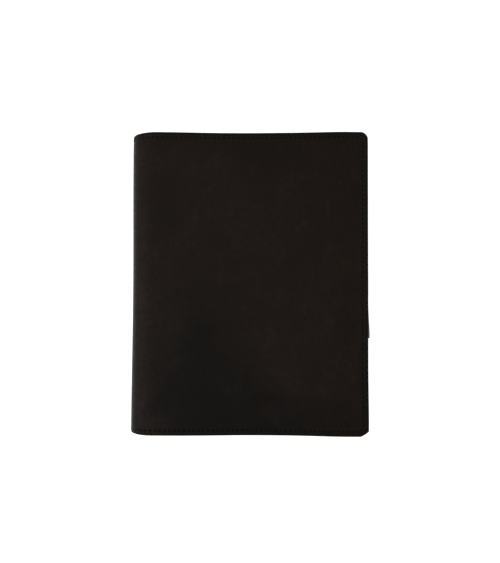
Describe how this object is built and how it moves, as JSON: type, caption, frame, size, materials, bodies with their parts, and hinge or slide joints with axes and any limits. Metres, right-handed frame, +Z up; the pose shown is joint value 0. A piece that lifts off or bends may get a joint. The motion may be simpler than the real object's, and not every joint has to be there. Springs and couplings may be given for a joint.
{
  "type": "notebook cover",
  "caption": "Refillable leather notebook cover with a rounded spine, sewn edge seam, inner pocket flaps, card pockets and a pen loop, holding a bound notebook.",
  "frame": {"origin": "middle of the underside of the closed cover lying on its back cover", "axes": "+X from the spine to the fore-edge, +Y up the page, +Z up through the closed covers"},
  "size_m": [0.1744, 0.22, 0.024],
  "materials": {
    "outer_leather": "smooth, matte, near black",
    "inner_leather": "smooth, matte, near black",
    "lining": "thin split leather, suede side out",
    "leatherboard": "matte",
    "thread": "waxed thread",
    "notebook_cover": "leather-paper covered board",
    "paper": "uncoated ivory",
    "band_cloth": "woven"
  },
  "bodies": {
    "back_cover": {"back_outer_leather": "outer_leather", "back_reinforcement": "leatherboard", "back_lining": "lining", "back_stitching": "thread", "back_pocket_flap": "inner_leather", "pen_loop": "inner_leather", "notebook_back_board": "notebook_cover", "notebook_back_endpaper": "paper", "page_block": "paper"},
    "spine": {"spine_outer_leather": "outer_leather", "spine_lining": "lining", "spine_stitching": "thread", "notebook_spine": "notebook_cover", "head_band": "band_cloth", "tail_band": "band_cloth"},
    "front_cover": {"front_outer_leather": "outer_leather", "front_reinforcement": "leatherboard", "front_lining": "lining", "front_stitching": "thread", "front_pocket_flap": "inner_leather", "card_pocket_upper": "inner_leather", "card_pocket_upper_stitching": "thread", "card_pocket_lower": "inner_leather", "card_pocket_lower_stitching": "thread", "notebook_front_board": "notebook_cover", "notebook_front_endpaper": "paper"},
    "page_section_1": {"page_section_1": "paper"},
    "page_section_2": {"page_section_2": "paper"},
    "page_section_3": {"page_section_3": "paper"}
  },
  "joints": [
    {"name": "spine_fold", "type": "hinge", "parent": "back_cover", "child": "spine", "pos_m": [-0.0851, 0, 0.0021], "axis": [0, -1, 0], "range_deg": [0, 90]},
    {"name": "cover_fold", "type": "hinge", "parent": "spine", "child": "front_cover", "pos_m": [-0.0851, 0, 0.0219], "axis": [0, -1, 0], "range_deg": [0, 90]},
    {"name": "section_1_turn", "type": "hinge", "parent": "spine", "child": "page_section_1", "pos_m": [-0.0828, 0, 0.01465], "axis": [0, -1, 0], "range_deg": [-54.2, 0]},
    {"name": "section_2_turn", "type": "hinge", "parent": "spine", "child": "page_section_2", "pos_m": [-0.0828, 0, 0.01545], "axis": [0, -1, 0], "range_deg": [-45.2, 0]},
    {"name": "section_3_turn", "type": "hinge", "parent": "spine", "child": "page_section_3", "pos_m": [-0.0828, 0, 0.01625], "axis": [0, -1, 0], "range_deg": [-36.2, 0]}
  ],
  "couplings": [
    {"joint": "section_1_turn", "follows": "spine_fold", "ratio": -0.6},
    {"joint": "section_2_turn", "follows": "spine_fold", "ratio": -0.5},
    {"joint": "section_3_turn", "follows": "spine_fold", "ratio": -0.4}
  ]
}
